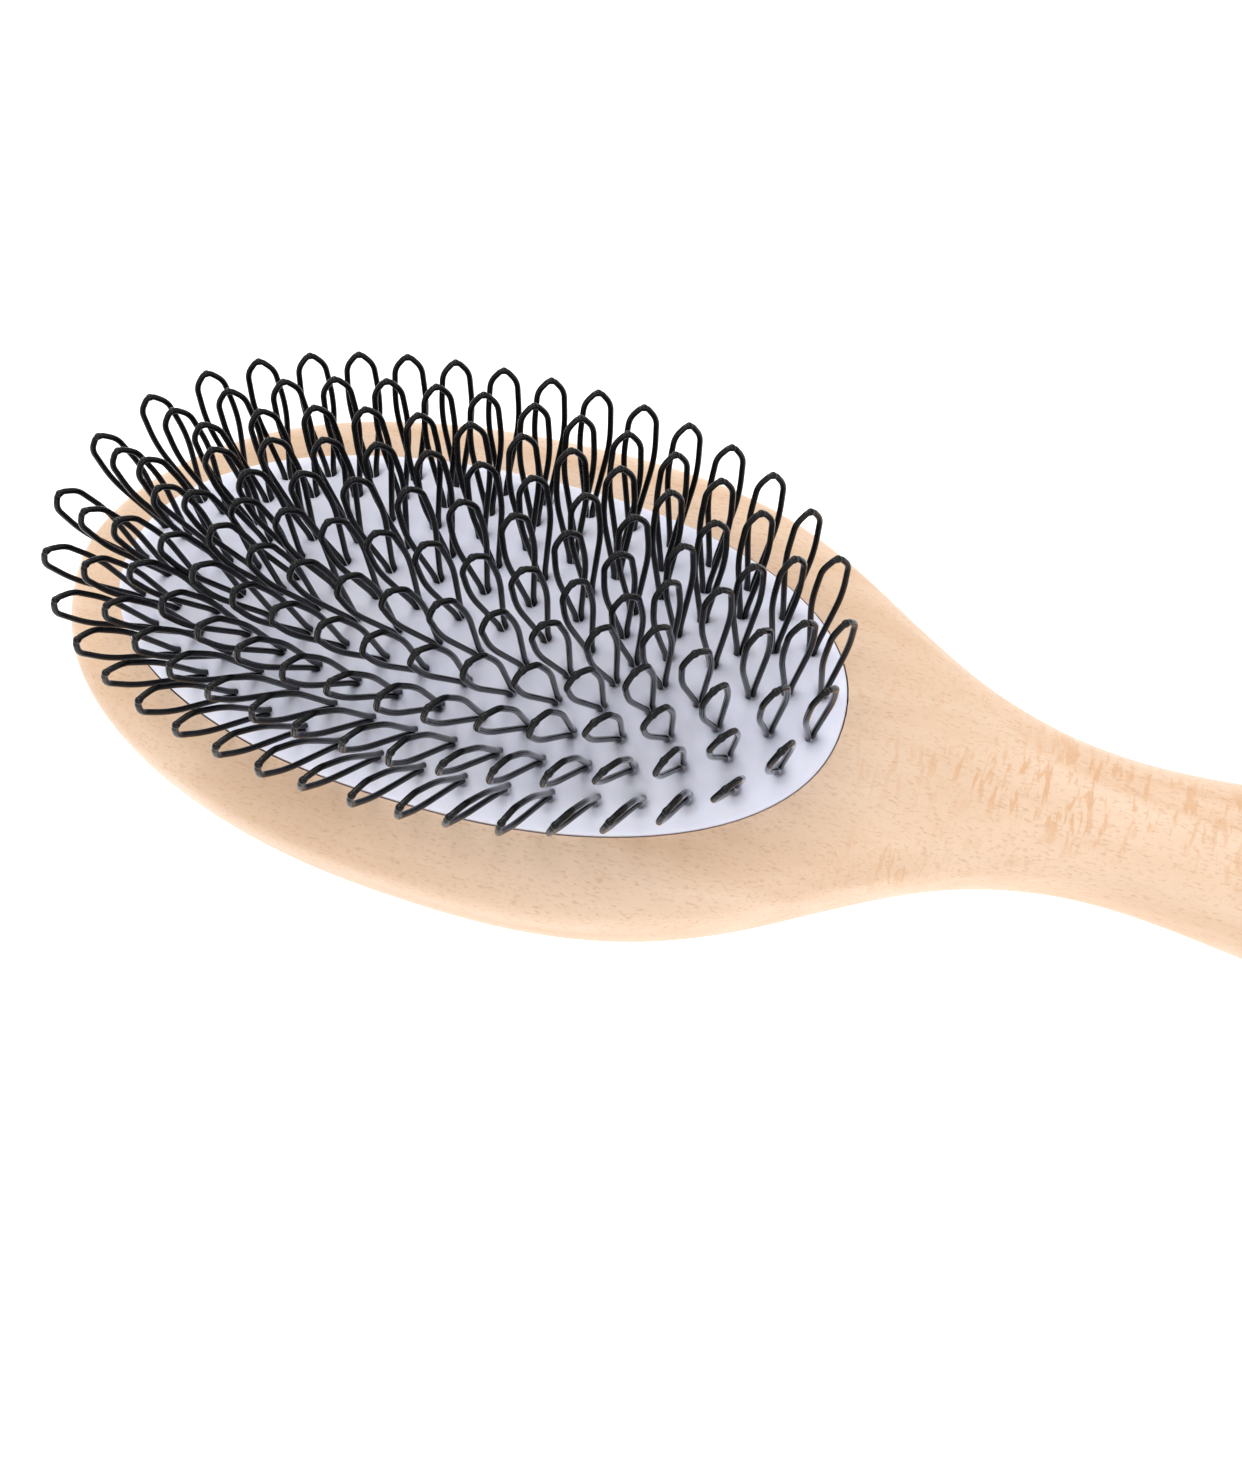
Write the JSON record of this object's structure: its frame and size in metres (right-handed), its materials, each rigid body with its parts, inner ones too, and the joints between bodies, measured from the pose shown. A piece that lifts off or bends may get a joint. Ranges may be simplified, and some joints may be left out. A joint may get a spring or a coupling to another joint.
{
  "type": "hairbrush",
  "caption": "Oval air-cushion hairbrush with a one-piece wooden head and handle, a domed rubber cushion and looped nylon bristles.",
  "frame": {"origin": "on the flat of the underside, below the middle of the cushion", "axes": "+X along the handle, +Z out of the bristle side, +Y across the head"},
  "size_m": [0.2305, 0.067, 0.0414],
  "materials": {
    "wood": "satin",
    "rubber": "matte",
    "nylon": "gloss"
  },
  "bodies": {
    "brush": {"wooden_body": "wood"},
    "bristle_field": {"rubber_cushion": "rubber", "centre_row_loops_1": "nylon", "centre_row_loops_2": "nylon", "fourth_ring_loops_1": "nylon", "fourth_ring_loops_2": "nylon", "fourth_ring_loops_3": "nylon", "fourth_ring_loops_4": "nylon", "fourth_ring_loops_5": "nylon", "fourth_ring_loops_6": "nylon", "inner_ring_loops_1": "nylon", "inner_ring_loops_2": "nylon", "inner_ring_loops_3": "nylon", "inner_ring_loops_4": "nylon", "inner_ring_loops_5": "nylon", "outer_ring_loops_1": "nylon", "outer_ring_loops_2": "nylon", "outer_ring_loops_3": "nylon", "outer_ring_loops_4": "nylon", "outer_ring_loops_5": "nylon", "outer_ring_loops_6": "nylon", "outer_ring_loops_7": "nylon", "outer_ring_loops_8": "nylon", "second_ring_loops_1": "nylon", "second_ring_loops_2": "nylon", "second_ring_loops_3": "nylon", "second_ring_loops_4": "nylon", "second_ring_loops_5": "nylon", "second_ring_loops_6": "nylon", "second_ring_loops_7": "nylon", "third_ring_loops_1": "nylon", "third_ring_loops_2": "nylon", "third_ring_loops_3": "nylon", "third_ring_loops_4": "nylon", "third_ring_loops_5": "nylon", "third_ring_loops_6": "nylon"}
  },
  "joints": [
    {"name": "cushion_press", "type": "slide", "parent": "brush", "child": "bristle_field", "axis": [0, 0, -1], "range_m": [0, 0.0028], "stiffness_N_per_m": 1600, "deforming": ["rubber_cushion"]}
  ]
}
